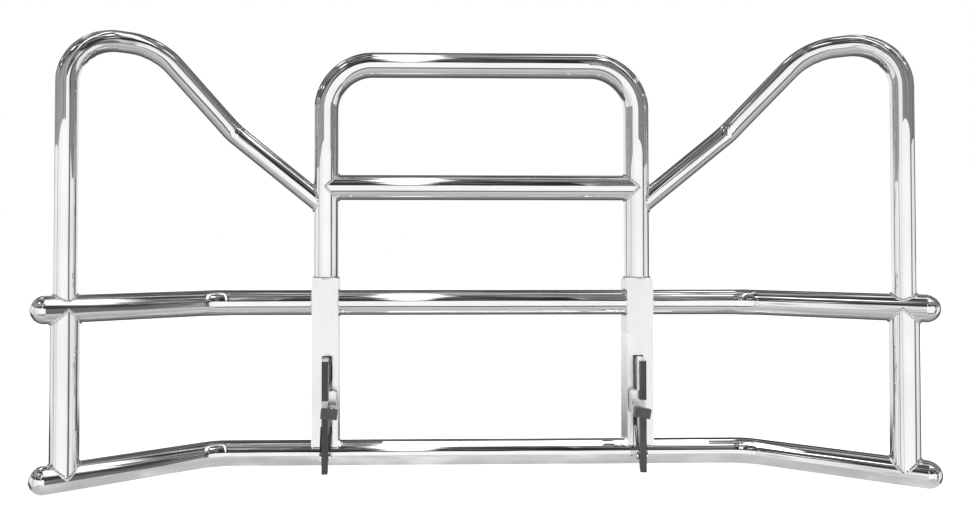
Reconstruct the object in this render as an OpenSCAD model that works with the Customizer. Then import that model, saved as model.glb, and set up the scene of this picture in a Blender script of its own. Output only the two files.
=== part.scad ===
// Fold-down grille guard for a heavy truck: polished round tube on two bracket plates.
// Units are millimetres. +Z is up, +X runs across the truck, +Y points away from the truck.
// The wings sweep back towards the truck, to -Y. The origin is under the middle of the whole part.

/* [Main tubes] */
// Outer diameter of the rails, the lower posts and the centre hoop
tube_d = 63.5; // [50:0.5:76]
// Outer diameter of the two wing hoops
wing_tube_d = 50.8; // [38:0.1:64]
// Wall of every round tube
tube_wall = 2.5; // [1.5:0.5:5]

/* [Rails] */
// Height of the middle rail's axis above the bottom rail's axis
mid_rail_h = 377.5; // [300:0.5:450]
// Distance from the middle plane to the corner where a rail bends into its wing
corner_x = 672; // [600:1:740]
// Sweep of the wings, measured from the straight part of the rail
wing_angle = 36; // [20:1:50]
// Distance from the corner to the tip of a rail's domed end
wing_tip = 430; // [380:1:480]
// Distance from the corner to the axis of the outer posts, along the wing
post_s = 356.5; // [300:0.5:390]
// Centre-line radius of the rail bends
rail_bend_r = 130; // [90:5:200]
// Height of a rail's domed end cap
dome_h = 26; // [10:1:31]

/* [Centre hoop] */
// Distance from the middle plane to the axis of a hoop leg
leg_x = 395.5; // [340:0.5:450]
// Height of the hoop's top axis above the bottom rail's axis
hoop_h = 981; // [800:1:1100]
// Centre-line radius of the hoop's two bends
hoop_bend_r = 118; // [90:1:180]
// Height of the cross bar's axis above the bottom rail's axis
bar_h = 669; // [520:1:800]

/* [Wing hoops] */
// Height of the wing hoop's top axis above the bottom rail's axis
wing_top_h = 1000; // [850:1:1100]
// Centre-line radius of the bend above the outer post
wing_bend_r = 112; // [80:1:160]
// Centre-line radius of the bend at the head of the slanting leg
slope_bend_r = 150; // [80:1:200]
// Distance from the middle plane to the kink where the slanting leg meets the front plane
kink_x = 631; // [560:1:680]
// Height of that kink above the bottom rail's axis
kink_h = 808; // [700:1:880]
// Height at which the slanting leg would reach the hoop leg's axis
slope_end_h = 617; // [540:1:700]
// Centre-line radius of the kink
kink_r = 80; // [60:5:160]

/* [Upright boxes] */
// Width and depth of the square uprights
box_w = 66; // [60:1:80]
// Wall of the square uprights
box_wall = 3; // [2:0.5:5]
// Height of the box top above the bottom rail's axis
box_top = 440; // [400:1:480]
// Height of the box's lower end above the bottom rail's axis
box_bottom = 21; // [12:1:30]
// Inner edge of the rear slot, measured inward from the box's middle
slot_in = 19.5; // [12:0.5:24]
// Outer edge of the rear slot, measured outward from the box's middle
slot_out = 6.5; // [2:0.5:20]
// Height of the slot's upper end above the bottom rail's axis
slot_top = 247; // [200:1:300]
// Inner edge of the lock notch beside the slot, measured inward from the box's middle
notch_in = 29.5; // [24:0.5:30]

/* [Bracket plates] */
// Thickness of a bracket plate
plate_t = 12; // [8:1:16]
// Distance of the plate's middle inward of the box's middle
plate_in = 4.5; // [0:0.5:8]
// Distance of the plate's rear edge behind the rail axis
plate_back = 70; // [60:1:90]
// Height of the plate's top above the bottom rail's axis
plate_top = 244; // [200:1:260]
// Depth of the plate's lower end below the bottom rail's axis
plate_drop = 35; // [20:1:45]
// Radius of the two mounting holes in each plate
hole_r = 6.5; // [5:0.25:9]
// Heights of those holes above the bottom rail's axis
hole_z = [88, 208];
// Width of the rubber edge trim over a plate
trim_w = 15; // [13:0.5:18]

/* [Fold-down hinge] */
// Distance of the hinge axis behind the rail axis
hinge_back = 50; // [46:1:60]
// Height of the hinge axis above the bottom rail's axis
hinge_up = 2; // [0:1:6]
// Diameter of the hinge bolt
bolt_d = 12; // [10:1:14]
// Thickness of each hinge ear
ear_t = 5; // [5:0.5:8]
// Gap between the plate and an ear, for the bush's collar and a thrust washer
ear_gap = 3; // [3:0.5:5]

/* [Locks] */
// Distance of the lock rod inward of the box's middle
rod_in = 20.5; // [18:0.5:22]
// Height of the lock rod above the bottom rail's axis
rod_h = 120; // [110:1:140]
// Diameter of the lock rod
rod_d = 12; // [10:1:14]
// Length of the lock's cam from the rod axis to its tip
cam_len = 33; // [30:1:36]
// Length, height and thickness of the T handle's grip
grip_size = [39, 23, 16];
// Tilt of the left and of the right grip at rest, clockwise as seen from the truck
grip_tilt = [5, 10];

/* [Hidden] */
$fn = 48;
R = tube_d / 2;
Rw = wing_tube_d / 2;
dome_r = (R * R + dome_h * dome_h) / (2 * dome_h);
straight_end = wing_tip - dome_h;
// the rail axis stands this far above the lowest point and in front of the middle of the part
z0 = plate_drop + 1;
y_back = (wing_tip - dome_r) * sin(wing_angle) + dome_r;
y0 = (y_back - box_w / 2) / 2;
post_x = corner_x + post_s * cos(wing_angle);
post_y = -post_s * sin(wing_angle);
wall_y = box_w / 2;
plate_x = leg_x - plate_in;
rod_x = leg_x - rod_in;
hinge_y = -hinge_back;
// running fit of a shaft in its bore, per side, and gap left for a weld
run_gap = 0.05;
weld_gap = 0.3;
// the bands that join a bend to its straights stand this proud, and this far along each way
hair = 0.05;
band = 1;
// bracket plate: its front edge, the rubber pad it pushes on and the line of its holes
front_edge = wall_y + 3;
pad_y = 20;
pad_z = [176, 216];
notch_z = 168;
hole_y = -52;
// rubber trim: how far it stands behind the plate's edge and laps over it, where its
// upper length begins, and how far below the plate's top it ends
trim_back = 4;
trim_lap = 8;
trim_foot = 142;
trim_gap = 7;
// hinge: bush and its collar, thrust washer, sunk head of the bolt and its equal nut
bush_r = 8;
collar_r = 11;
collar_t = 1.5;
washer_r = 11;
washer_t = 1.2;
head_r = 10;
neck_r = 7;
head_t = 4;
ear_r = 14;
ear_top = 72;
// lock: rod end behind the rail axis, guide block, collar, cam and its nut
rod_back = 112;
rod_front = 10;
guide_y = [-61.7, -40];
guide_z = [-18, 44];
guide_r = 10;
stop_collar_y = [-70.5, -62];
stop_collar_r = 9.5;
cam_y = [-28, -18];
cam_w = 11;
cam_hub_r = 7.5;
cam_nut_r = 8.5;
cam_nut_t = 6;
grip_sink = 6;
grip_bore = 10;

// ---- helpers: everything below is placed from the bottom rail's axis in the front plane ----
module placed() translate([0, y0, z0]) children();
module on_side(s) { if (s > 0) children(); else mirror([1, 0, 0]) children(); }
function unit(v) = v / norm(v);
function turn(pts, i) = acos(unit(pts[i] - pts[i - 1]) * unit(pts[i + 1] - pts[i]));
function setback(pts, rad, i) =
    (i == 0 || i == len(pts) - 1) ? 0 : rad[i] * tan(turn(pts, i) / 2);
module ring(r, wall) { difference() { circle(r); circle(r - wall); } }
// straight length of tube from a to b; n is the normal of the plane its path bends in
module straight(a, b, r, wall, n = [0, 0, 1]) {
    w = unit(b - a);
    u = unit(cross(w, abs(w * n) > 0.99 ? [0, 1, 0] : n));
    v = cross(w, u);
    multmatrix([[u[0], v[0], w[0], a[0]], [u[1], v[1], w[1], a[1]], [u[2], v[2], w[2], a[2]]])
        linear_extrude(height = norm(b - a)) ring(r, wall);
}
// bend of tube at corner i of a path, with the hair-thin bands that join it to the straights
module elbow(pts, rad, i, r, wall) {
    d1 = unit(pts[i] - pts[i - 1]);
    d2 = unit(pts[i + 1] - pts[i]);
    t = setback(pts, rad, i);
    n = unit(cross(d1, d2));
    q = cross(d1, n);
    c = pts[i] - t * d1 - rad[i] * q;
    y = cross(n, q);
    multmatrix([[q[0], y[0], n[0], c[0]], [q[1], y[1], n[1], c[1]], [q[2], y[2], n[2], c[2]]])
        rotate_extrude(angle = turn(pts, i)) translate([rad[i], 0]) ring(r, wall);
    for (e = [[-1, d1], [1, d2]]) {
        p = pts[i] + e[0] * t * e[1];
        straight(p - band * e[1], p + band * e[1], r + hair, wall + 2 * hair, n);
    }
}
module tube(pts, rad, r, wall) {
    for (i = [0 : len(pts) - 2]) {
        w = unit(pts[i + 1] - pts[i]);
        k = i == 0 ? 1 : i;
        n = unit(cross(unit(pts[k] - pts[k - 1]), unit(pts[k + 1] - pts[k])));
        straight(pts[i] + (setback(pts, rad, i) + (i > 0 ? hair * 2 : 0)) * w,
                 pts[i + 1] - (setback(pts, rad, i + 1) + (i < len(pts) - 2 ? hair * 2 : 0)) * w,
                 r, wall, n);
    }
    for (i = [1 : len(pts) - 2]) elbow(pts, rad, i, r, wall);
}
module along_x(len, r) rotate([0, 90, 0]) cylinder(h = len, r = r, center = true);
module along_y(y1, y2, r) translate([0, y1, 0]) rotate([-90, 0, 0]) cylinder(h = y2 - y1, r = r);
// solid slab with its outline drawn in Y and Z, from x1 to x2
module slab(x1, x2) multmatrix([[0, 0, 1, x1], [1, 0, 0, 0], [0, 1, 0, 0]])
    linear_extrude(height = x2 - x1) children();

function wing_point(s, z) = [corner_x + s * cos(wing_angle), -s * sin(wing_angle), z];
kink_run = norm([post_x - kink_x, post_y]);
kink_dir = [(kink_x - post_x) / kink_run, -post_y / kink_run, 0];
// corner above the slanting leg: the slope falls at 45 degrees in the plane of the wing hoop
slope_s = kink_run - (wing_top_h - kink_h);

// ---- rails ----
module bottom_rail() placed() color("silver")
    tube([[-corner_x - straight_end * cos(wing_angle), -straight_end * sin(wing_angle), 0],
          [-corner_x, 0, 0], [corner_x, 0, 0], wing_point(straight_end, 0)],
         [0, rail_bend_r, rail_bend_r, 0], R, tube_wall);
module mid_rail_center() placed() color("silver")
    straight([-leg_x + wall_y, 0, mid_rail_h], [leg_x - wall_y, 0, mid_rail_h], R, tube_wall);
module mid_rail(s) placed() color("silver") on_side(s)
    tube([[leg_x + wall_y, 0, mid_rail_h], [corner_x, 0, mid_rail_h],
          wing_point(straight_end, mid_rail_h)], [0, rail_bend_r, 0], R, tube_wall);
module dome(z) {
    translate(wing_point(straight_end, z)) rotate([0, 0, -wing_angle]) rotate([0, 90, 0])
        difference() {
            translate([0, 0, dome_h - dome_r]) sphere(r = dome_r);
            translate([0, 0, dome_h - dome_r]) sphere(r = dome_r - tube_wall);
            translate([0, 0, -dome_r * 2]) cylinder(h = dome_r * 2, r = dome_r * 2);
        }
}
module bottom_rail_domes() placed() color("silver") for (s = [-1, 1]) on_side(s) dome(0);
module mid_rail_domes() placed() color("silver") for (s = [-1, 1]) on_side(s) dome(mid_rail_h);

// ---- posts, hoops and bar ----
module rail_cut(z, grow) {
    translate([corner_x, 0, z]) rotate([0, 0, -wing_angle]) translate([post_s, 0, 0])
        along_x(240, R + grow);
}
module lower_post(s) placed() color("silver") on_side(s) difference() {
    straight([post_x, post_y, 0], [post_x, post_y, mid_rail_h], R, tube_wall);
    rail_cut(0, weld_gap);
    rail_cut(mid_rail_h, weld_gap);
}
module wing_hoop(s) placed() color("silver") on_side(s) difference() {
    tube([[post_x, post_y, mid_rail_h], [post_x, post_y, wing_top_h],
          [post_x, post_y, wing_top_h] + slope_s * kink_dir, [kink_x, 0, kink_h],
          [leg_x, 0, slope_end_h]],
         [0, wing_bend_r, slope_bend_r, kink_r, 0], Rw, tube_wall);
    rail_cut(mid_rail_h, weld_gap);
    translate([leg_x, 0, slope_end_h]) cylinder(h = 300, r = R + weld_gap, center = true);
}
module center_hoop() placed() color("silver")
    tube([[-leg_x, 0, box_top], [-leg_x, 0, hoop_h], [leg_x, 0, hoop_h], [leg_x, 0, box_top]],
         [0, hoop_bend_r, hoop_bend_r, 0], R, tube_wall);
module cross_bar() placed() color("silver") difference() {
    straight([-leg_x, 0, bar_h], [leg_x, 0, bar_h], R, tube_wall);
    for (s = [-1, 1]) translate([s * leg_x, 0, bar_h])
        cylinder(h = 200, r = R + weld_gap, center = true);
}

// ---- upright boxes ----
module upright_box(s) placed() color("gainsboro") on_side(s) translate([leg_x, 0, 0]) difference() {
    translate([-box_w / 2, -box_w / 2, box_bottom])
        cube([box_w, box_w, box_top - box_wall - box_bottom]);
    translate([-box_w / 2 + box_wall, -box_w / 2 + box_wall, box_bottom - 1])
        cube([box_w - 2 * box_wall, box_w - 2 * box_wall, box_top]);
    along_x(box_w + 20, R + weld_gap);
    // rear slot for the bracket plate, open at the lower end
    translate([-slot_in, -box_w / 2 - 1, box_bottom - 1])
        cube([slot_in + slot_out, box_wall + 2, slot_top - box_bottom + 1]);
    // notch for the lock's cam
    translate([-notch_in, -box_w / 2 - 1, rod_h - 12])
        cube([notch_in - slot_in + 1, box_wall + 2, cam_len + 21]);
}
module box_caps() placed() color("silver") for (s = [-1, 1])
    translate([s * leg_x - box_w / 2, -box_w / 2, box_top - box_wall])
        cube([box_w, box_w, box_wall]);

// ---- bracket plates on the truck ----
// the foot is cut back at 45 degrees, and a tongue at the top reaches into the upright
module plate_outline() polygon([[-plate_back, -plate_drop],
    [-front_edge, plate_back - front_edge - plate_drop], [-front_edge, notch_z], [pad_y, notch_z],
    [pad_y, plate_top - 14], [-pad_y, plate_top], [-plate_back, plate_top]]);
module plate(s) placed() color("silver") on_side(s) difference() {
    slab(plate_x - plate_t / 2, plate_x + plate_t / 2) plate_outline();
    translate([plate_x, hinge_y, hinge_up]) along_x(plate_t + 4, bush_r);
    for (z = hole_z) translate([plate_x, hole_y, z]) along_x(plate_t + 4, hole_r);
}
// rubber trim with a groove that the plate's rear edge stands in
module trim(z1, z2, cut) difference() {
    slab(plate_x - trim_w / 2, plate_x + trim_w / 2)
        polygon(concat(cut ? [[-plate_back + 0.5, z1], [-plate_back + trim_lap, z1 + trim_lap - 0.5]]
                : [[-plate_back + trim_lap, z1]],
            [[-plate_back + trim_lap, z2], [-plate_back - trim_back, z2],
             [-plate_back - trim_back, z1]]));
    translate([plate_x - plate_t / 2, -plate_back, z1 - 1]) cube([plate_t, 20, z2 - z1 + 2]);
}
module trim_upper(s) placed() color("dimgray") on_side(s) trim(trim_foot, plate_top - trim_gap, false);
module trim_lower(s) placed() color("dimgray") on_side(s) trim(-z0, rod_h - 6, true);
module hinge_bushes() placed() color("goldenrod") for (s = [-1, 1]) on_side(s)
    translate([plate_x, hinge_y, hinge_up]) difference() {
        union() {
            along_x(plate_t, bush_r);
            for (t = [-1, 1]) translate([t * (plate_t + collar_t) / 2, 0, 0])
                along_x(collar_t, collar_r);
        }
        along_x(plate_t + 10, bolt_d / 2 + run_gap);
    }
// guide block on the plate's inner face: the lock rod turns in it, and it hides the box's notch
module lock_guide(s) placed() color("silver") on_side(s) difference() {
    union() {
        for (z = [guide_z[0] + guide_r, guide_z[1] - guide_r])
            translate([rod_x, 0, rod_h + z]) along_y(guide_y[0], guide_y[1], guide_r);
        translate([rod_x - guide_r, guide_y[0], rod_h + guide_z[0] + guide_r])
            cube([2 * guide_r, guide_y[1] - guide_y[0], guide_z[1] - guide_z[0] - 2 * guide_r]);
        translate([rod_x, guide_y[0], rod_h + guide_z[0]])
            cube([plate_x - plate_t / 2 - rod_x, guide_y[1] - guide_y[0], guide_z[1] - guide_z[0]]);
    }
    translate([rod_x, 0, rod_h]) along_y(-80, -20, rod_d / 2 + run_gap);
}
module stop_pads() placed() color("dimgray") for (s = [-1, 1])
    translate([s * plate_x - 8, pad_y, pad_z[0]])
        cube([16, wall_y - box_wall - weld_gap - pad_y, pad_z[1] - pad_z[0]]);

// ---- hinge parts on the guard ----
module ear_outline() difference() {
    union() {
        polygon([[hinge_y - 8, hinge_up + 11.5], [-wall_y - 6, ear_top], [-wall_y, ear_top],
            [-wall_y, -6], [hinge_y + 4, hinge_up - 13.4]]);
        translate([hinge_y, hinge_up]) circle(ear_r);
    }
    translate([hinge_y, hinge_up]) circle(bolt_d / 2 + run_gap);
    circle(R + weld_gap);
}
stack = plate_t / 2 + ear_gap + ear_t;
// sunk head at one end of the hinge bolt, t = -1 or 1, grown for its seat
module sunk_head(t, grow) translate([t * stack, 0, 0]) rotate([0, -t * 90, 0])
    cylinder(h = head_t + grow, r1 = head_r + grow, r2 = neck_r + grow);
module ears(s) placed() color("silver") on_side(s) for (t = [-1, 1]) difference() {
    translate([t * (stack - ear_t / 2), 0, 0])
        slab(plate_x - ear_t / 2, plate_x + ear_t / 2) ear_outline();
    translate([plate_x, hinge_y, hinge_up]) sunk_head(t, run_gap);
}
module hinge_bolts() placed() color("silver") for (s = [-1, 1]) on_side(s)
    translate([plate_x, hinge_y, hinge_up]) {
        along_x(2 * stack, bolt_d / 2);
        sunk_head(-1, 0);
    }
module hinge_nuts() placed() color("silver") for (s = [-1, 1]) on_side(s)
    translate([plate_x, hinge_y, hinge_up]) difference() {
        sunk_head(1, 0);
        along_x(3 * stack, bolt_d / 2);
    }
module hinge_washers() placed() color("silver") for (s = [-1, 1]) on_side(s) for (t = [-1, 1])
    translate([plate_x + t * (stack - ear_t - washer_t / 2), hinge_y, hinge_up]) difference() {
        along_x(washer_t, washer_r);
        along_x(washer_t + 2, bolt_d / 2);
    }

// ---- quarter-turn locks ----
module lock_rod(s) placed() color("silver") on_side(s) translate([rod_x, 0, rod_h])
    along_y(-rod_back, -rod_front, rod_d / 2);
module lock_grip(s) placed() color("dimgray") translate([s * (rod_x + 1), 0, rod_h - 1])
    rotate([0, grip_tilt[s > 0 ? 1 : 0], 0]) difference() {
        translate([-grip_size[0] / 2, -rod_back - grip_size[2] + grip_sink, -grip_size[1] / 2])
            cube([grip_size[0], grip_size[2], grip_size[1]]);
        rotate([0, -grip_tilt[s > 0 ? 1 : 0], 0]) translate([-s, 0, 1])
            along_y(-rod_back, -rod_back + grip_bore, rod_d / 2);
    }
module lock_cam(s) placed() color("silver") on_side(s) translate([rod_x, 0, rod_h]) difference() {
    union() {
        along_y(cam_y[0], cam_y[1], cam_hub_r);
        translate([-cam_w / 2, cam_y[0], 0])
            cube([cam_w, cam_y[1] - cam_y[0], cam_len - cam_w / 2]);
        translate([0, 0, cam_len - cam_w / 2]) along_y(cam_y[0], cam_y[1], cam_w / 2);
    }
    along_y(-40, 0, rod_d / 2);
}
module lock_collar(s) placed() color("silver") on_side(s) translate([rod_x, 0, rod_h]) difference() {
    along_y(stop_collar_y[0], stop_collar_y[1], stop_collar_r);
    along_y(-80, -60, rod_d / 2);
}
module cam_nut(s) placed() color("silver") on_side(s) translate([rod_x, cam_y[1], rod_h])
    rotate([-90, 0, 0]) difference() {
        cylinder(h = cam_nut_t, r = cam_nut_r, $fn = 6);
        translate([0, 0, -1]) cylinder(h = cam_nut_t + 2, d = rod_d);
    }

plate(-1);  // plate_left
plate(1);  // plate_right
trim_upper(-1);  // trim_upper_left
trim_upper(1);  // trim_upper_right
trim_lower(-1);  // trim_lower_left
trim_lower(1);  // trim_lower_right
hinge_bushes();
lock_guide(-1);  // lock_guide_left
lock_guide(1);  // lock_guide_right
stop_pads();
bottom_rail();
mid_rail_center();
mid_rail(-1);  // mid_rail_left
mid_rail(1);  // mid_rail_right
center_hoop();
cross_bar();
wing_hoop(-1);  // wing_hoop_left
wing_hoop(1);  // wing_hoop_right
lower_post(-1);  // lower_post_left
lower_post(1);  // lower_post_right
upright_box(-1);  // upright_box_left
upright_box(1);  // upright_box_right
box_caps();
bottom_rail_domes();
mid_rail_domes();
ears(-1);  // hinge_ears_left
ears(1);  // hinge_ears_right
hinge_bolts();
hinge_nuts();
hinge_washers();
lock_rod(-1);  // lock_rod_left
lock_grip(-1);  // lock_grip_left
lock_cam(-1);  // lock_cam_left
lock_collar(-1);  // lock_collar_left
cam_nut(-1);  // cam_nut_left
lock_rod(1);  // lock_rod_right
lock_grip(1);  // lock_grip_right
lock_cam(1);  // lock_cam_right
lock_collar(1);  // lock_collar_right
cam_nut(1);  // cam_nut_right
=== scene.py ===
"""A fold-down truck grille guard in polished stainless tube, on a plain pale floor."""
import math

import bpy
from mathutils import Matrix, Vector, noise


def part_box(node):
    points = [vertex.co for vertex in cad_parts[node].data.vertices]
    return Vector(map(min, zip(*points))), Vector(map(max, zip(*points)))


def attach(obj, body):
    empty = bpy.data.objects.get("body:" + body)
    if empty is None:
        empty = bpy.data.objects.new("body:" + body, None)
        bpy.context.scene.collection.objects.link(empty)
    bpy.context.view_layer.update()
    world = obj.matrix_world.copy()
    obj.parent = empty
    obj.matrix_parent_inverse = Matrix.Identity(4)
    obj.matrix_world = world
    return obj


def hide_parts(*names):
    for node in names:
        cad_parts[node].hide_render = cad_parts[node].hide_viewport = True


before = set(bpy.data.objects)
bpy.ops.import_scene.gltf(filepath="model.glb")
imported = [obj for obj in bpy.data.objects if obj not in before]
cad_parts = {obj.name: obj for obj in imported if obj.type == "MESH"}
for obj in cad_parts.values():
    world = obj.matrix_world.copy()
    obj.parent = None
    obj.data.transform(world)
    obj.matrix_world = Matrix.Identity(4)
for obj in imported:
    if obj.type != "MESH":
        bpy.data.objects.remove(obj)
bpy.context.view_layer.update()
scene = bpy.context.scene

# ---- sizes: read from the frame's boxes where they give them, and otherwise as the part was designed ----
rail_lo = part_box("bottom_rail")[0]
center_lo, center_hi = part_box("mid_rail_center")
hoop_lo, hoop_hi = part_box("center_hoop")
bar_lo, bar_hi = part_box("cross_bar")
post_lo, post_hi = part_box("lower_post_right")
crate_lo, crate_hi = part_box("upright_box_right")

TUBE_R = 0.03175
WING_R = 0.0254
# sweep of the wings, the corner where a rail bends into one, and how far past it the tube runs
ANGLE = math.radians(36)
CORNER_X = 0.672
STRAIGHT_END = 0.404
# centre-line radii of the bends
BEND_R = 0.130
HOOP_BEND_R = 0.118
WING_BEND_R = 0.112
SLOPE_BEND_R = 0.150
KINK_R = 0.080
# a wing hoop's kink, the end of its slanting leg and its top; heights are above the bottom rail's axis
KINK_X = 0.631
KINK_H = 0.808
SLOPE_END_H = 0.617
WING_TOP_H = 1.000

RAIL_Y = (center_lo.y + center_hi.y) / 2
RAIL_Z = rail_lo.z + TUBE_R
MID_Z = (center_lo.z + center_hi.z) / 2
BAR_Z = (bar_lo.z + bar_hi.z) / 2
LEG_X = hoop_hi.x - TUBE_R
HOOP_Z = hoop_hi.z - TUBE_R
POST_X = (post_lo.x + post_hi.x) / 2
POST_Y = (post_lo.y + post_hi.y) / 2
BOX_TOP = hoop_lo.z
BOX_HALF = (crate_hi.x - crate_lo.x) / 2
WING_DIR = Vector((math.cos(ANGLE), -math.sin(ANGLE), 0))
UP = Vector((0, 0, 1))
ACROSS = Vector((1, 0, 0))
SIDES = (("left", -1), ("right", 1))


def at(x, y, z):
    """A point given from the bottom rail's axis in the front plane."""
    return Vector((x, RAIL_Y + y, RAIL_Z + z))


# ---- node helpers ----
def calc(tree, op, *values):
    n = tree.nodes.new("ShaderNodeMath")
    n.operation = op
    for socket, v in zip(n.inputs, values):
        if isinstance(v, (int, float)):
            socket.default_value = v
        else:
            tree.links.new(v, socket)
    return n.outputs[0]


def smooth(tree, v, a, b):
    """0 where v is below a, 1 above b, and a soft step in between."""
    n = tree.nodes.new("ShaderNodeMapRange")
    n.interpolation_type = "SMOOTHSTEP"
    tree.links.new(v, n.inputs["Value"])
    for name, x in (("From Min", a), ("From Max", b)):
        if isinstance(x, (int, float)):
            n.inputs[name].default_value = x
        else:
            tree.links.new(x, n.inputs[name])
    return n.outputs["Result"]


def curve(tree, v, low, high, stops):
    """A grey value that runs through stops, (place between low and high, grey)."""
    ramp = tree.nodes.new("ShaderNodeValToRGB")
    ramp.color_ramp.interpolation = "LINEAR"
    spread = tree.nodes.new("ShaderNodeMapRange")
    tree.links.new(v, spread.inputs["Value"])
    spread.inputs["From Min"].default_value = low
    spread.inputs["From Max"].default_value = high
    tree.links.new(spread.outputs["Result"], ramp.inputs["Fac"])
    elements = ramp.color_ramp.elements
    while len(elements) < len(stops):
        elements.new(0.5)
    for e, (place, grey) in zip(elements, stops):
        e.position = (place - low) / (high - low)
        e.color = (grey, grey, grey, 1)
    return ramp.outputs["Color"]


def mix(tree, t, a, b):
    """a where t is 0, b where t is 1."""
    return calc(tree, "ADD", a, calc(tree, "MULTIPLY", t, calc(tree, "SUBTRACT", b, a)))


def noise_of(tree, vector, scale, detail=2.0, rough=0.5):
    n = tree.nodes.new("ShaderNodeTexNoise")
    n.inputs["Scale"].default_value = scale
    n.inputs["Detail"].default_value = detail
    n.inputs["Roughness"].default_value = rough
    tree.links.new(vector, n.inputs["Vector"])
    return n.outputs["Fac"]


# ---- the hall that the polished tubes mirror ----
SKYLIGHT_GREY = 2.0
LAMP_GREY = 2.5
PANEL_GREY = 1.6


def make_world():
    """Greys by direction: roll is the angle round the X axis, turn round the Z axis, rise above level."""
    world = bpy.data.worlds.new("hall")
    scene.world = world
    world.use_nodes = True
    t = world.node_tree
    t.nodes.clear()
    way = t.nodes.new("ShaderNodeTexCoord").outputs["Generated"]
    split = t.nodes.new("ShaderNodeSeparateXYZ")
    t.links.new(way, split.inputs[0])
    x, y, z = split.outputs
    front = calc(t, "MULTIPLY", y, -1.0)
    deg = math.degrees(1)
    roll = calc(t, "MULTIPLY", calc(t, "ARCTAN2", z, front), deg)
    turn = calc(t, "MULTIPLY", calc(t, "ARCTAN2", x, front), deg)
    rise = calc(t, "MULTIPLY", calc(t, "ARCSINE", z), deg)
    behind = smooth(t, y, -0.25, 0.25)

    # ceiling and floor, by the angle round the truck's cross axis
    ceiling = curve(t, roll, 0, 180, [
        (0, 0.045), (27, 0.045), (38, 0.05), (50, 0.11), (66, 0.12), (80, 0.09), (100, 0.16),
        (112, 0.07), (128, 0.13), (140, 0.06), (165, 0.04), (180, 0.04)])
    floor = curve(t, roll, -180, 0, [
        (-180, 0.06), (-162, 0.06), (-142, 0.09), (-125, 0.14), (-112, 0.24), (-100, 0.34), (-85, 0.42),
        (-65, 0.50), (-46, 0.62), (-41, 0.50), (-38, 0.14), (-31, 0.14), (-28, 0.75), (0, 0.9)])
    # streaks across the ceiling: rafters, ducts and rows of small lamps
    flat = t.nodes.new("ShaderNodeCombineXYZ")
    t.links.new(calc(t, "MULTIPLY", x, 4.0), flat.inputs[0])
    t.links.new(calc(t, "MULTIPLY", roll, 1 / 11), flat.inputs[1])
    streak = noise_of(t, flat.outputs[0], 1.0, 3.0, 0.6)
    ceiling = calc(t, "MULTIPLY", ceiling, curve(t, streak, 0, 1, [
        (0, 0.2), (0.40, 0.3), (0.48, 0.8), (0.54, 1.6), (0.60, 4.0), (0.68, 7.0)]))
    # one long skylight that runs away from the viewer: a leaf of white on each cross tube
    leaf = curve(t, roll, 0, 180, [
        (0, 0.0), (16, 0.0), (28, 0.014), (60, 0.034), (88, 0.034), (100, 0.020), (108, 0.0), (180, 0.0)])
    ragged = calc(t, "MULTIPLY", calc(t, "SUBTRACT", streak, 0.5), 0.11)
    side = calc(t, "ADD", calc(t, "ABSOLUTE", calc(t, "ADD", x, 0.006)), ragged)
    glow = calc(t, "SUBTRACT", 1.0, smooth(t, calc(t, "SUBTRACT", side, leaf), -0.010, 0.020))
    glow = calc(t, "MULTIPLY", glow, calc(t, "MULTIPLY",
                smooth(t, roll, 16, 28), calc(t, "SUBTRACT", 1.0, smooth(t, roll, 94, 108))))
    ceiling = mix(t, glow, ceiling, SKYLIGHT_GREY)
    # rows of round lamps to both sides, seen only in the bends and on the wings
    lift = calc(t, "MAXIMUM", z, 0.05)
    cell_x = calc(t, "SUBTRACT", calc(t, "FRACT", calc(t, "ADD", calc(t, "DIVIDE", x, lift), 0.1)), 0.5)
    cell_y = calc(t, "SUBTRACT", calc(t, "FRACT", calc(t, "DIVIDE", y, lift)), 0.5)
    near = calc(t, "SQRT", calc(t, "ADD", calc(t, "MULTIPLY", cell_x, cell_x),
                                calc(t, "MULTIPLY", cell_y, cell_y)))
    lamps = calc(t, "SUBTRACT", 1.0, smooth(t, near, 0.06, 0.13))
    lamps = calc(t, "MULTIPLY", lamps, calc(t, "MULTIPLY", smooth(t, calc(t, "ABSOLUTE", x), 0.26, 0.34),
                                            smooth(t, z, 0.25, 0.40)))
    ceiling = mix(t, lamps, ceiling, LAMP_GREY)
    # one broad, slanting panel over the left wing
    across = calc(t, "ADD", calc(t, "ADD", calc(t, "MULTIPLY", x, 0.61), calc(t, "MULTIPLY", y, 0.783)),
                  calc(t, "MULTIPLY", z, -0.118))
    across = calc(t, "ADD", across, calc(t, "MULTIPLY", calc(t, "SUBTRACT", streak, 0.5), 0.12))
    panel = calc(t, "SUBTRACT", 1.0, smooth(t, calc(t, "ABSOLUTE", across), 0.03, 0.10))
    panel = calc(t, "MULTIPLY", panel, calc(t, "MULTIPLY",
                 smooth(t, z, 0.35, 0.6), smooth(t, x, 0.10, 0.22)))
    outer = calc(t, "ADD", calc(t, "MULTIPLY", x, 0.809), calc(t, "MULTIPLY", y, 0.588))
    panel = calc(t, "MULTIPLY", panel, calc(t, "SUBTRACT", 1.0, smooth(t, outer, 0.26, 0.32)))
    ceiling = mix(t, panel, ceiling, PANEL_GREY)

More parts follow.
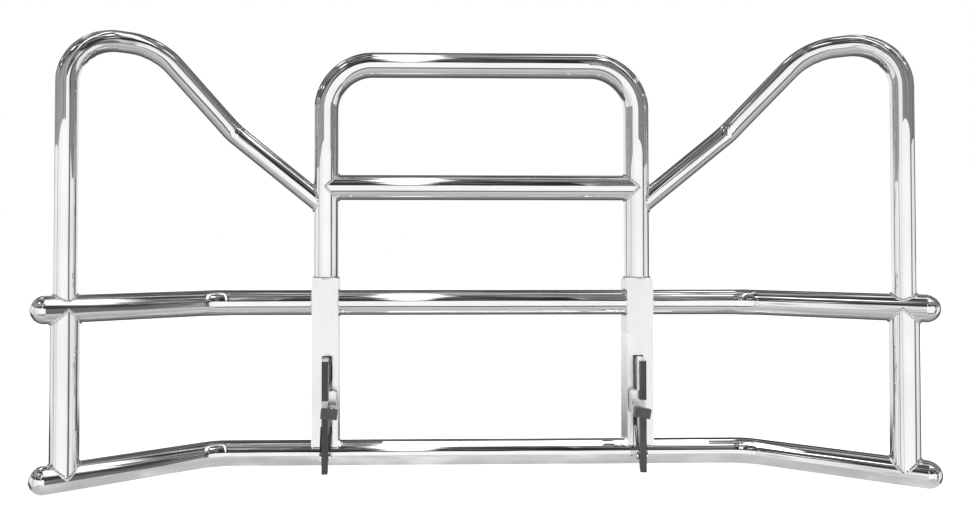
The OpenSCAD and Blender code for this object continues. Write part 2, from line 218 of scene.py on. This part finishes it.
    # the ring at eye height: an open, bright side towards the viewer, with posts and people as dark marks
    ring = curve(t, turn, -180, 180, [
        (-180, 0.90), (-126, 0.86), (-121, 0.16), (-117, 0.16), (-112, 0.88), (-70, 0.95),
        (-67, 0.40), (-64, 0.40), (-61, 0.92), (-46, 0.92), (-42, 0.70), (-38, 0.95), (0, 1.0), (24, 0.98),
        (43, 0.92), (48, 0.14), (56, 0.16), (62, 0.85), (96, 0.88), (103, 0.45), (110, 0.08),
        (128, 0.07), (134, 0.55), (142, 0.88), (180, 0.90)])
    stand = t.nodes.new("ShaderNodeCombineXYZ")
    t.links.new(calc(t, "MULTIPLY", turn, 1 / 5), stand.inputs[0])
    t.links.new(calc(t, "MULTIPLY", z, 1.5), stand.inputs[1])
    clutter = noise_of(t, stand.outputs[0], 1.0, 2.0, 0.5)
    clutter = mix(t, smooth(t, calc(t, "ABSOLUTE", turn), 32, 48), 1.0, curve(t, clutter, 0, 1, [
        (0, 0.35), (0.36, 0.5), (0.44, 1.0), (0.60, 1.05), (0.66, 0.6), (1, 0.4)]))
    ring = calc(t, "MULTIPLY", ring, clutter)
    low_edge = mix(t, behind, -27.0, -9.0)
    # its upper edge: higher in front, where the hall's door stands open
    top_edge = curve(t, turn, -180, 180, [
        (-180, 0.24), (-120, 0.28), (30, 0.30), (48, 0.20), (120, 0.20), (180, 0.24)])
    top_edge = calc(t, "ADD", calc(t, "MULTIPLY", top_edge, 45.0),
                    calc(t, "MULTIPLY", calc(t, "SUBTRACT", streak, 0.5), 6.0))
    above = smooth(t, rise, top_edge, calc(t, "ADD", top_edge, 2.5))
    below = calc(t, "SUBTRACT", 1.0,
                 smooth(t, rise, calc(t, "SUBTRACT", low_edge, 3.0), low_edge))
    # a dark skirting round the far side, under the ring
    skirt = calc(t, "MULTIPLY", behind, smooth(t, rise, -34.0, -26.0))
    ground = mix(t, skirt, floor, 0.10)
    grey = mix(t, above, ring, ceiling)
    grey = mix(t, below, grey, ground)

    seen = t.nodes.new("ShaderNodeLightPath").outputs["Is Camera Ray"]
    back = t.nodes.new("ShaderNodeBackground")
    t.links.new(mix(t, seen, grey, 1.0), back.inputs["Color"])
    out = t.nodes.new("ShaderNodeOutputWorld")
    t.links.new(back.outputs[0], out.inputs[0])


make_world()


# ---- materials ----
def new_material(name):
    m = bpy.data.materials.new(name)
    m.use_nodes = True
    t = m.node_tree
    return m, t, t.nodes["Principled BSDF"]


def flow_way(tree, scale):
    """The place on a bent tube: its length and the two axes of its section, stretched."""
    flow = tree.nodes.new("ShaderNodeAttribute")
    flow.attribute_name = "flow"
    fit = tree.nodes.new("ShaderNodeMapping")
    fit.inputs["Scale"].default_value = scale
    tree.links.new(flow.outputs["Vector"], fit.inputs["Vector"])
    return fit.outputs[0]


def object_way(tree, scale):
    """Object coordinates, stretched."""
    place = tree.nodes.new("ShaderNodeTexCoord")
    fit = tree.nodes.new("ShaderNodeMapping")
    fit.inputs["Scale"].default_value = scale
    tree.links.new(place.outputs["Object"], fit.inputs["Vector"])
    return fit.outputs[0]


def shaded(tree, shader, fac, low, high):
    """Base colour from the first colour to the second; low, high = (place, colour)."""
    shade = tree.nodes.new("ShaderNodeValToRGB")
    for element, (place, color) in zip(shade.color_ramp.elements, (low, high)):
        element.position = place
        element.color = color
    tree.links.new(fac, shade.inputs["Fac"])
    tree.links.new(shade.outputs["Color"], shader.inputs["Base Color"])


def bump(tree, shader, height, distance, previous=None):
    b = tree.nodes.new("ShaderNodeBump")
    b.inputs["Strength"].default_value = 1.0
    b.inputs["Distance"].default_value = distance
    tree.links.new(height, b.inputs["Height"])
    if previous is not None:
        tree.links.new(previous, b.inputs["Normal"])
    tree.links.new(b.outputs[0], shader.inputs["Normal"])
    return b.outputs[0]


def polished(name, scale, wave=0.00045, flows=False):
    """Mirror-polished stainless tube: long shallow waves along it, fine polishing marks, a few smears."""
    m, t, s = new_material(name)
    s.inputs["Metallic"].default_value = 1.0
    way = flow_way(t, scale) if flows else object_way(t, scale)
    tint = noise_of(t, object_way(t, (7, 7, 7)), 1.0, 3.0)
    shaded(t, s, tint, (0.35, (0.90, 0.905, 0.91, 1)), (0.65, (0.965, 0.965, 0.965, 1)))
    smear = noise_of(t, object_way(t, (22, 22, 22)), 1.0, 4.0, 0.6)
    rough = curve(t, smear, 0, 1, [(0, 0.012), (0.5, 0.02), (0.62, 0.045), (1, 0.09)])
    t.links.new(rough, s.inputs["Roughness"])
    waves = bump(t, s, noise_of(t, way, 1.0, 1.5, 0.4), wave)
    marks = noise_of(t, way, 9.0, 2.0, 0.5)
    bump(t, s, marks, 0.000012, waves)
    return m


def satin(name, extra=0.0):
    """Brushed stainless sheet, the grain upright; extra is added to its roughness."""
    m, t, s = new_material(name)
    s.inputs["Metallic"].default_value = 1.0
    grain = noise_of(t, object_way(t, (900, 900, 12)), 1.0, 3.0, 0.6)
    cloud = noise_of(t, object_way(t, (9, 9, 5)), 1.0, 3.0)
    shaded(t, s, grain, (0.3, (0.90, 0.90, 0.90, 1)), (0.7, (0.97, 0.97, 0.97, 1)))
    stops = [(0, 0.20), (0.45, 0.25), (0.6, 0.30), (1, 0.36)]
    rough = curve(t, cloud, 0, 1, [(place, value + extra) for place, value in stops])
    t.links.new(rough, s.inputs["Roughness"])
    bump(t, s, grain, 0.00001)
    return m


def zinc(name, low, high):
    """Plated or cast metal, cloudy between two colours."""
    m, t, s = new_material(name)
    s.inputs["Metallic"].default_value = 1.0
    cloud = noise_of(t, object_way(t, (160, 160, 160)), 1.0, 4.0, 0.6)
    shaded(t, s, cloud, (0.35, low), (0.65, high))
    t.links.new(curve(t, cloud, 0, 1, [(0, 0.22), (0.5, 0.32), (1, 0.5)]), s.inputs["Roughness"])
    bump(t, s, cloud, 0.00006)
    return m


def rubber(name, dark, light, grain, depth, low_rough, high_rough):
    """Black rubber or plastic with pores and a little dust."""
    m, t, s = new_material(name)
    s.inputs["Specular IOR Level"].default_value = 0.35
    pores = noise_of(t, object_way(t, (grain, grain, grain)), 1.0, 3.0, 0.6)
    dust = noise_of(t, object_way(t, (30, 30, 14)), 1.0, 4.0, 0.6)
    shaded(t, s, dust, (0.35, (dark, dark, dark * 1.02, 1)), (0.7, (light, light, light * 1.02, 1)))
    t.links.new(curve(t, dust, 0, 1, [(0, low_rough), (1, high_rough)]), s.inputs["Roughness"])
    bump(t, s, pores, depth)
    return m


steel_across = polished("steel_across", (5, 42, 42))
steel_upright = polished("steel_upright", (42, 42, 5))
steel_swept = polished("steel_swept", (5, 42, 42), flows=True)
steel_round = polished("steel_round", (75, 75, 75), wave=0.0006)
steel_small = polished("steel_small", (40, 40, 40), wave=0.00012)
steel_satin = satin("steel_satin")
steel_plate = satin("steel_plate", 0.25)
zinc_plate = zinc("zinc_plate", (0.52, 0.53, 0.55, 1), (0.74, 0.75, 0.77, 1))
bronze = zinc("bronze", (0.42, 0.27, 0.12, 1), (0.62, 0.42, 0.20, 1))
trim_rubber = rubber("trim_rubber", 0.040, 0.062, 700, 0.00008, 0.5, 0.75)
grip_plastic = rubber("grip_plastic", 0.055, 0.085, 900, 0.00010, 0.40, 0.6)

# what covers each CAD node: by its name first, then by its material slot
COVER = {
    "mid_rail_center": steel_across, "cross_bar": steel_across, "lower_post_left": steel_upright,
    "lower_post_right": steel_upright, "bottom_rail_domes": steel_round, "mid_rail_domes": steel_round,
    "plate_left": steel_plate, "plate_right": steel_plate,
}
BY_SLOT = {
    "zinc_steel": zinc_plate, "black_rubber": trim_rubber, "black_grip": grip_plastic,
    "satin_stainless": steel_satin, "bronze": bronze,
}
for name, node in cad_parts.items():
    material = COVER.get(name)
    if material is None:
        slot = node.data.materials[0].name
        material = BY_SLOT.get(slot, steel_small)
    for i in range(len(node.data.materials)):
        node.data.materials[i] = material


# ---- pieces ----
# a swept skin: the extra ring near each end, the rings on the straights beside a bend, the least gap
# between those and the next bend's, the rings' spacing round a bend, and the height of the cone that
# closes an end cut to fit
END_RING = 0.0015
NEAR_BEND, FAR_FROM_BEND = 0.006, 0.030
CLEAR = 0.004
RING_STEP = 0.0025
CONE = 0.004
# what the press leaves at a bend: how far its marks reach from the bend's middle, how wide a ridge is,
# how far the tube swells to each side across the bend, and over what length
MARK_REACH = 0.045
RIDGE_WIDTH = 0.0055
SWELL, SWELL_LENGTH = 0.0006, 0.022
# a weld bead's ripple and slower drift, as a share of its radius and a step per ring, and its open end
BEAD_SIDES = 10
RIPPLE, RIPPLE_STEP = 0.16, 2.1
DRIFT, DRIFT_STEP = 0.12, 0.7
BEAD_END = 0.35


def piece(name, points, faces, material, body):
    """A smooth mesh that rides on a body of the part."""
    mesh = bpy.data.meshes.new(name)
    mesh.from_pydata([tuple(p) for p in points], [], faces)
    mesh.validate()
    mesh.update()
    for f in mesh.polygons:
        f.use_smooth = True
    mesh.materials.append(material)
    o = bpy.data.objects.new(name, mesh)
    scene.collection.objects.link(o)
    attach(o, body)
    return o


def sideways(w):
    """A unit vector square to w."""
    return w.cross(UP if abs(w.z) < 0.8 else Vector((0, 1, 0))).normalized()


def bead(name, path, r, closed=True, seed=0):
    """A weld bead along path: a low round rope whose height ripples as the welder's steps do."""
    n, sides = len(path), BEAD_SIDES
    points, faces = [], []
    for i, p in enumerate(path):
        a = path[(i - 1) % n] if closed or i else path[i]
        b = path[(i + 1) % n] if closed or i < n - 1 else path[i]
        w = (b - a).normalized()
        u = sideways(w)
        v = w.cross(u)
        drift = DRIFT * noise.noise(Vector((i * DRIFT_STEP, seed, 0)))
        swell = 1 + RIPPLE * math.sin(i * RIPPLE_STEP) + drift
        if not closed and i in (0, n - 1):
            swell *= BEAD_END
        for k in range(sides):
            q = 2 * math.pi * k / sides
            points.append(p + r * swell * (math.cos(q) * u + math.sin(q) * v))
    for i in range(n if closed else n - 1):
        for k in range(sides):
            a, b = i * sides, ((i + 1) % n) * sides
            faces.append((a + k, b + k, b + (k + 1) % sides, a + (k + 1) % sides))
    if not closed:
        faces.append(tuple(range(sides)))
        faces.append(tuple((n - 1) * sides + k for k in reversed(range(sides))))
    piece(name, points, faces, weld_metal, "guard")


def touch(p, way, target, axis, big_r):
    """The point where the endless line through p along way first meets the tube of radius big_r."""
    d = p - target
    dn = d - axis * d.dot(axis)
    wn = way - axis * way.dot(axis)
    a, b, c = wn.dot(wn), 2 * dn.dot(wn), dn.dot(dn) - big_r * big_r
    root = max(b * b - 4 * a * c, 0.0)
    return p + way * ((-b - math.sqrt(root)) / (2 * a))


def meet(center, way, r, target, axis, big_r, steps=90):
    """The line in which a tube of radius r, through center along way, first meets another tube.

    The other tube has radius big_r and runs along axis through target.
    """
    way, axis = way.normalized(), axis.normalized()
    u = way.cross(axis).normalized()
    v = way.cross(u)
    turns = [2 * math.pi * i / steps for i in range(steps)]
    return [touch(center + r * (math.cos(q) * u + math.sin(q) * v), way, target, axis, big_r)
            for q in turns]


def circle(center, axis, r, steps=72):
    u = sideways(axis)
    v = axis.cross(u)
    turns = [2 * math.pi * i / steps for i in range(steps)]
    return [center + r * (math.cos(q) * u + math.sin(q) * v) for q in turns]


def route(corners, radii):
    """Stations along a path of straights and bends.

    Each is (point, direction, distance from the bend's middle, direction towards the bend's centre),
    with None for the last two at the path's ends.
    """
    stations = []
    reaches = [0] + [r * math.tan((b - a).angle(c - b) / 2)
                     for r, a, b, c in zip(radii[1:], corners, corners[1:], corners[2:])] + [0]
    for i, c in enumerate(corners):
        if i == 0 or i == len(corners) - 1:
            w = (corners[1] - c if i == 0 else c - corners[i - 1]).normalized()
            near, far = (c, c + w * END_RING) if i == 0 else (c - w * END_RING, c)
            stations += [(near, w, None, None), (far, w, None, None)]
            continue
        a, b = (c - corners[i - 1]).normalized(), (corners[i + 1] - c).normalized()
        bend = a.angle(b)
        reach = reaches[i]
        before = (c - corners[i - 1]).length - reach - reaches[i - 1]
        after = (corners[i + 1] - c).length - reach - reaches[i + 1]
        way_in = (b - a).normalized()
        middle = c + way_in * (radii[i] / math.cos(bend / 2))
        axis = a.cross(b).normalized()
        first = c - a * reach
        for gap in [g for g in (FAR_FROM_BEND, NEAR_BEND) if 2 * g + CLEAR < before]:
            stations.append((first - a * gap, a, -radii[i] * bend / 2 - gap, way_in))
        steps = max(12, round(radii[i] * bend / RING_STEP))
        for k in range(steps + 1):
            turned = Matrix.Rotation(bend * k / steps, 3, axis)
            stations.append((middle + turned @ (first - middle), turned @ a,
                             radii[i] * bend * (k / steps - 0.5), way_in))
        for gap in [g for g in (NEAR_BEND, FAR_FROM_BEND) if 2 * g + CLEAR < after]:
            stations.append((c + b * (reach + gap), b, radii[i] * bend / 2 + gap, way_in))
    return stations


def sweep(name, node, corners, radii, r, marks=None, meets=(None, None), sides=72):
    """A bent tube's skin, in place of a CAD node.

    marks = (distance from a bend's middle, height) of each ridge that the press leaves inside a bend.
    meets = for each end, the (point, axis, radius) of the tube that it is cut to fit, or None.
    """
    stations = route(corners, radii)
    u = None
    length, before = 0.0, stations[0][0]
    points, flow, faces, rims = [], [], [], set()
    for p, w, from_middle, way_in in stations:
        if u is None:
            u = sideways(w)
        u = (u - w * u.dot(w)).normalized()
        v = w.cross(u)
        length += (p - before).length
        before = p
        for k in range(sides):
            q = 2 * math.pi * k / sides
            out = math.cos(q) * u + math.sin(q) * v
            reach = r
            if marks and way_in is not None and abs(from_middle) < MARK_REACH:
                inner = max(0.0, out.dot(way_in)) ** 1.5
                flat = abs(out.dot(w.cross(way_in).normalized()))
                for place, height in marks:
                    reach += height * inner * math.exp(-((from_middle - place) / RIDGE_WIDTH) ** 2)
                reach += SWELL * flat * math.exp(-(from_middle / SWELL_LENGTH) ** 2)
            points.append(p + reach * out)
            flow.append((length, r * math.cos(q), r * math.sin(q)))
    last = (len(stations) - 1) * sides
    for i in range(len(stations) - 1):
        for k in range(sides):
            a, b = i * sides, (i + 1) * sides
            faces.append((a + k, a + (k + 1) % sides, b + (k + 1) % sides, b + k))
    for end, base in ((0, 0), (1, last)):
        ring = list(range(base, base + sides))
        rims.update(ring)
        if meets[end] is None:
            faces.append(tuple(reversed(ring)) if end == 0 else tuple(ring))
            continue
        target, axis, big_r = meets[end]
        p, w = stations[-end][:2]
        way = w if end else -w
        second = sides if end == 0 else -sides
        for k in ring:
            points[k] = touch(points[k], way, target, axis, big_r)
            points[k + second] = points[k] - way * END_RING
        points.append(p + way * CONE)
        flow.append((0, 0, 0))
        for k in range(sides):
            pair = (base + k, base + (k + 1) % sides)
            faces.append((pair + (len(points) - 1,)) if end else (pair[::-1] + (len(points) - 1,)))
    o = piece(name, points, faces, steel_swept, "guard")
    # sharp rims keep the end's shading off the tube's side
    for e in o.data.edges:
        a, b = e.vertices
        e.use_edge_sharp = a in rims and b in rims
    layer = o.data.attributes.new("flow", "FLOAT_VECTOR", "POINT")
    layer.data.foreach_set("vector", [x for f in flow for x in f])
    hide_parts(node)


RAIL_MARKS = [(-0.014, 0.0002), (0.014, 0.0002)]
WING_MARKS = [(-0.013, 0.0005), (0.013, 0.0005)]
# a wing hoop's skin starts this far above the middle rail's axis, and its last straight stops this share
# of its length short of the centre hoop's axis; both ends are then cut to fit the tubes that they meet
FOOT_GAP = 0.04
HEAD_GAP = 0.1
end_x = CORNER_X + STRAIGHT_END * WING_DIR.x
ends = {s: Vector((s * end_x, STRAIGHT_END * WING_DIR.y, 0)) for s in (-1, 1)}
sweep("bottom_rail_skin", "bottom_rail",
      [at(*ends[-1]), at(-CORNER_X, 0, 0), at(CORNER_X, 0, 0), at(*ends[1])],
      [0, BEND_R, BEND_R, 0], TUBE_R, RAIL_MARKS)
sweep("center_hoop_skin", "center_hoop",
      [Vector((-LEG_X, RAIL_Y, BOX_TOP)), Vector((-LEG_X, RAIL_Y, HOOP_Z)),
       Vector((LEG_X, RAIL_Y, HOOP_Z)), Vector((LEG_X, RAIL_Y, BOX_TOP))],
      [0, HOOP_BEND_R, HOOP_BEND_R, 0], TUBE_R)
for side, s in SIDES:
    mid_h = MID_Z - RAIL_Z
    sweep(f"mid_rail_skin_{side}", f"mid_rail_{side}",
          [at(s * (LEG_X + BOX_HALF), 0, mid_h), at(s * CORNER_X, 0, mid_h),
           at(ends[s].x, ends[s].y, mid_h)], [0, BEND_R, 0], TUBE_R, RAIL_MARKS)
    foot = at(s * POST_X, POST_Y - RAIL_Y, mid_h)
    kink = at(s * KINK_X, 0, KINK_H)
    run = Vector((kink.x - foot.x, kink.y - foot.y, 0))
    top = at(s * POST_X, POST_Y - RAIL_Y, WING_TOP_H)
    slope = top + run.normalized() * (run.length - (WING_TOP_H - KINK_H))
    slope_end = at(s * LEG_X, 0, SLOPE_END_H)
    wing = Vector((s * WING_DIR.x, WING_DIR.y, 0))
    sweep(f"wing_hoop_skin_{side}", f"wing_hoop_{side}",
          [foot + UP * FOOT_GAP, top, slope, kink, slope_end + (kink - slope_end) * HEAD_GAP],
          [0, WING_BEND_R, SLOPE_BEND_R, KINK_R, 0], WING_R, WING_MARKS,
          meets=((foot, wing, TUBE_R), (at(s * LEG_X, 0, 0), UP, TUBE_R)))

# ---- weld beads ----
weld_metal = polished("weld_metal", (120, 120, 120), wave=0.0006)
BEAD_R = 0.0034
# the middle rail's beads are this share of that
MID_BEAD = 0.8
# the uprights' feet: the bead's height over the rail, and how far round the rail it runs each way
FOOT_LIFT = 0.0004
FOOT_TURN = 48
FOOT_STEPS = 30
for side, s in SIDES:
    wing = Vector((s * WING_DIR.x, WING_DIR.y, 0))
    low = Vector((s * POST_X, POST_Y, RAIL_Z))
    mid = Vector((s * POST_X, POST_Y, MID_Z))
    bead(f"weld_post_foot_{side}", meet(low, -UP, TUBE_R, low, wing, TUBE_R), BEAD_R, seed=1 + s)
    bead(f"weld_post_head_{side}", meet(mid, UP, TUBE_R, mid, wing, TUBE_R), BEAD_R, seed=4 + s)
    bead(f"weld_wing_foot_{side}", meet(mid, -UP, WING_R, mid, wing, TUBE_R), BEAD_R, seed=7 + s)
    leg = at(s * LEG_X, 0, 0)
    kink = at(s * KINK_X, 0, KINK_H)
    end = at(s * LEG_X, 0, SLOPE_END_H)
    bead(f"weld_wing_head_{side}", meet(kink, end - kink, WING_R, leg, UP, TUBE_R), BEAD_R, seed=10 + s)
    bar = Vector((0, RAIL_Y, BAR_Z))
    bead(f"weld_bar_{side}", meet(bar, s * ACROSS, TUBE_R, leg, UP, TUBE_R), BEAD_R, seed=13 + s)
    hoop_foot = Vector((s * LEG_X, RAIL_Y, BOX_TOP))
    bead(f"weld_hoop_foot_{side}", circle(hoop_foot, UP, TUBE_R), BEAD_R, seed=16 + s)
    for where, t in (("inner", -1), ("outer", 1)):
        x = s * (LEG_X + t * BOX_HALF)
        bead(f"weld_mid_{where}_{side}", circle(Vector((x, RAIL_Y, MID_Z)), ACROSS, TUBE_R),
             BEAD_R * MID_BEAD, seed=19 + s + t)
        arc_r = TUBE_R + FOOT_LIFT
        turns = [math.radians(FOOT_TURN * (2 * i / FOOT_STEPS - 1)) for i in range(FOOT_STEPS + 1)]
        arc = [Vector((x, RAIL_Y + arc_r * math.sin(q), RAIL_Z + arc_r * math.cos(q))) for q in turns]
        bead(f"weld_foot_{where}_{side}", arc, BEAD_R, closed=False, seed=25 + s + t)

# ---- floor, light and camera ----
floor_mesh = bpy.data.meshes.new("floor")
HALF = 30
corners = [(-HALF, -HALF, 0), (HALF, -HALF, 0), (HALF, HALF, 0), (-HALF, HALF, 0)]
floor_mesh.from_pydata(corners, [], [(0, 1, 2, 3)])
floor = bpy.data.objects.new("floor", floor_mesh)
scene.collection.objects.link(floor)
floor.visible_glossy = False
m, t, s = new_material("pale_floor")
s.inputs["Base Color"].default_value = (0.85, 0.85, 0.85, 1)
s.inputs["Roughness"].default_value = 0.9
s.inputs["Emission Color"].default_value = (1, 1, 1, 1)
s.inputs["Emission Strength"].default_value = 0.9
floor_mesh.materials.append(m)


def lamp(name, place, aim, size, power):
    """A soft rectangular light at place, turned towards aim; mirrors don't show it."""
    data = bpy.data.lights.new(name, "AREA")
    data.shape = "RECTANGLE"
    data.size, data.size_y = size
    data.energy = power
    o = bpy.data.objects.new(name, data)
    scene.collection.objects.link(o)
    o.location = place
    o.rotation_euler = (Vector(aim) - Vector(place)).to_track_quat("-Z", "Y").to_euler()
    o.visible_glossy = False
    return o


lamp("soft_front", (-1.8, -3.2, 2.6), (0, 0, 0.4), (2.5, 2.0), 60)
lamp("soft_back", (2.2, 3.0, 2.8), (0, 0, 0.4), (2.5, 2.0), 45)


def mirrored(name, points, faces, greys, grain):
    """Planes that only mirrors show; greys = their darkest and their brightest streaks."""
    m, t, s = new_material(name)
    s.inputs["Base Color"].default_value = (0.1, 0.1, 0.1, 1)
    low, high = greys
    t.links.new(curve(t, noise_of(t, object_way(t, grain), 1.0, 3.0), 0, 1, [
        (0.35, low), (0.5, low + 0.25 * (high - low)), (0.65, high)]), s.inputs["Emission Color"])
    s.inputs["Emission Strength"].default_value = 1.0
    mesh = bpy.data.meshes.new(name)
    mesh.from_pydata(points, [], faces)
    mesh.materials.append(m)
    o = bpy.data.objects.new(name, mesh)
    scene.collection.objects.link(o)
    o.visible_camera = o.visible_diffuse = o.visible_shadow = False


# two bent cards high beside the viewer, for the tops of the wing hoops: their ends, edges and greys
CARD_NEAR, CARD_FAR = -1.0, 1.2
CARD_LOW, CARD_HIGH = 0.97, 1.75
CARDS = (("left", -0.72, -2.60, (0.10, 0.42)), ("right", 0.50, 2.40, (0.02, 0.30)))
for side, inner, outer, greys in CARDS:
    line = [(inner, CARD_NEAR), (outer, CARD_NEAR), (outer, CARD_FAR)]
    mirrored("card_" + side, [(x, y, z) for z in (CARD_LOW, CARD_HIGH) for x, y in line],
             [(0, 1, 4, 3), (1, 2, 5, 4)], greys, (9, 9, 1.2))
# a pale sheet on the floor along the bottom rail, which its underside mirrors
SHEET_EDGES = (-0.15, 0.03)
SHEET_STRETCH = 1.04
SHEET_Z = 0.001
line = [at(*ends[-1]), at(-CORNER_X, 0, 0), at(CORNER_X, 0, 0), at(*ends[1])]
mirrored("sheet", [(p.x * SHEET_STRETCH, p.y + edge, SHEET_Z) for edge in SHEET_EDGES for p in line],
         [(i, i + 1, i + 5, i + 4) for i in range(3)], (0.42, 0.66), (6, 6, 6))
# two strip lights over the bottom rail, which mirrors do show: how far above and behind its axis they
# hang and how wide they are, and then each one's place along it, length and power
STRIP_LIFT, STRIP_BACK, STRIP_WIDTH = 0.30, 0.02, 0.30
STRIPS = (("strip_middle", 0.053, 0.63, 2.0), ("strip_right", 0.585, 0.17, 0.4))
strip_y = RAIL_Y - STRIP_BACK
for name, x, long, power in STRIPS:
    strip = lamp(name, (x, strip_y, RAIL_Z + STRIP_LIFT), (x, strip_y, 0), (long, STRIP_WIDTH), power)
    strip.visible_glossy = True
    strip.visible_camera = False

# ---- camera: behind the guard, a little left of its middle ----
eye = bpy.data.cameras.new("camera")
eye.sensor_width = 36
eye.lens = 30.16
eye.shift_x = 0.0529
eye.shift_y = -0.0291
eye.clip_end = 200
camera = bpy.data.objects.new("camera", eye)
scene.collection.objects.link(camera)
camera.location = (-0.1736, -1.9498, 0.5503)
yaw, pitch = math.radians(1.392), math.radians(1.037)
look = Vector((math.sin(yaw) * math.cos(pitch), math.cos(yaw) * math.cos(pitch), math.sin(pitch)))
camera.rotation_euler = look.to_track_quat("-Z", "Y").to_euler()
scene.camera = camera
scene.view_settings.view_transform = "Standard"
